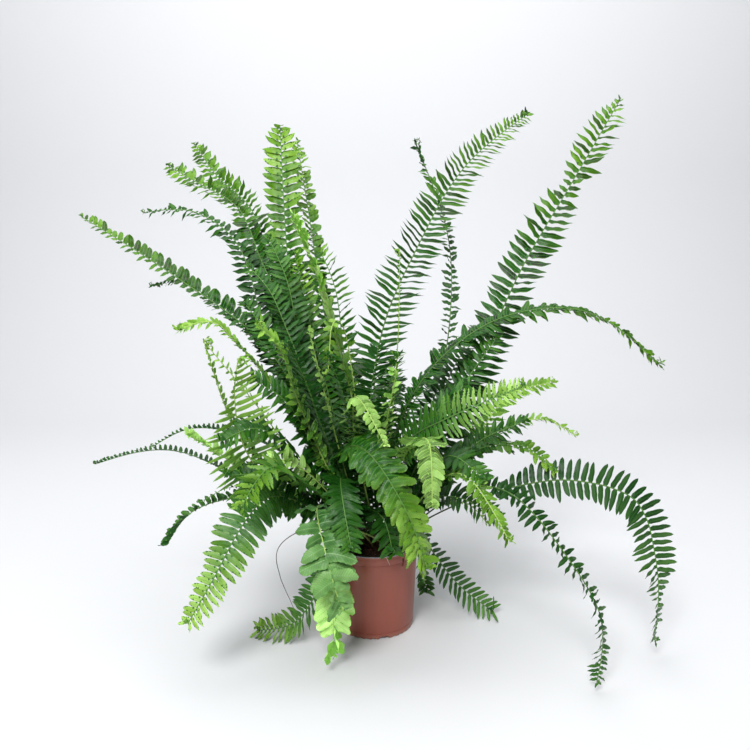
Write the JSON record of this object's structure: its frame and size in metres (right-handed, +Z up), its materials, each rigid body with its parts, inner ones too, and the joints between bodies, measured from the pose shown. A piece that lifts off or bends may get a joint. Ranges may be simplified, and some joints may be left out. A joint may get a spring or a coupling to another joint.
{
  "type": "potted fern",
  "caption": "Sword fern with long arching feather-shaped fronds in a small round terracotta-coloured plastic nursery pot.",
  "frame": {"origin": "middle of the pot's base, on the surface it stands on", "axes": "+Z up out of the pot, +X along the fern's longest spread, -Y the front"},
  "size_m": [0.8093, 0.5184, 0.7543],
  "materials": {
    "pot_plastic": "satin",
    "compost": "matte",
    "crown_wood": "matte",
    "root_fibre": "matte",
    "leaf_old": "satin",
    "leaf_mature": "satin",
    "leaf_young": "satin",
    "leaf_lime": "satin",
    "leaf_pale": "satin"
  },
  "bodies": {
    "root": {"pot": "pot_plastic", "soil": "compost", "crown": "crown_wood", "runner": "root_fibre", "root_front": "root_fibre", "root_side": "root_fibre", "frond_left_01": "leaf_mature", "frond_left_02": "leaf_young", "frond_left_03": "leaf_mature", "frond_left_04": "leaf_old", "frond_left_05": "leaf_mature", "frond_left_06": "leaf_mature", "frond_left_07": "leaf_mature", "frond_left_08": "leaf_mature", "frond_left_09": "leaf_young", "frond_left_10": "leaf_mature", "frond_left_11": "leaf_young", "frond_left_12": "leaf_young", "frond_left_13": "leaf_old", "frond_left_14": "leaf_old", "frond_left_15": "leaf_lime", "frond_left_16": "leaf_old", "frond_left_17": "leaf_mature", "frond_left_18": "leaf_mature", "frond_left_19": "leaf_old", "frond_left_20": "leaf_old", "frond_left_21": "leaf_young", "frond_left_22": "leaf_old", "frond_front_01": "leaf_pale", "frond_front_02": "leaf_lime", "frond_front_03": "leaf_old", "frond_front_04": "leaf_mature", "frond_front_05": "leaf_lime", "frond_front_06": "leaf_lime", "frond_front_07": "leaf_lime", "frond_front_08": "leaf_old", "frond_front_09": "leaf_old", "frond_front_10": "leaf_mature", "frond_front_11": "leaf_old", "frond_right_01": "leaf_mature", "frond_right_02": "leaf_old", "frond_right_03": "leaf_mature", "frond_right_04": "leaf_mature", "frond_right_05": "leaf_young", "frond_right_06": "leaf_mature", "frond_right_07": "leaf_young", "frond_right_08": "leaf_mature", "frond_right_09": "leaf_old", "frond_right_10": "leaf_old", "frond_right_11": "leaf_young", "frond_right_12": "leaf_old", "frond_right_13": "leaf_old", "frond_right_14": "leaf_old", "frond_right_15": "leaf_old", "frond_back_01": "leaf_old", "frond_back_02": "leaf_mature", "frond_back_03": "leaf_old", "frond_back_04": "leaf_mature", "frond_back_05": "leaf_old"}
  },
  "joints": []
}
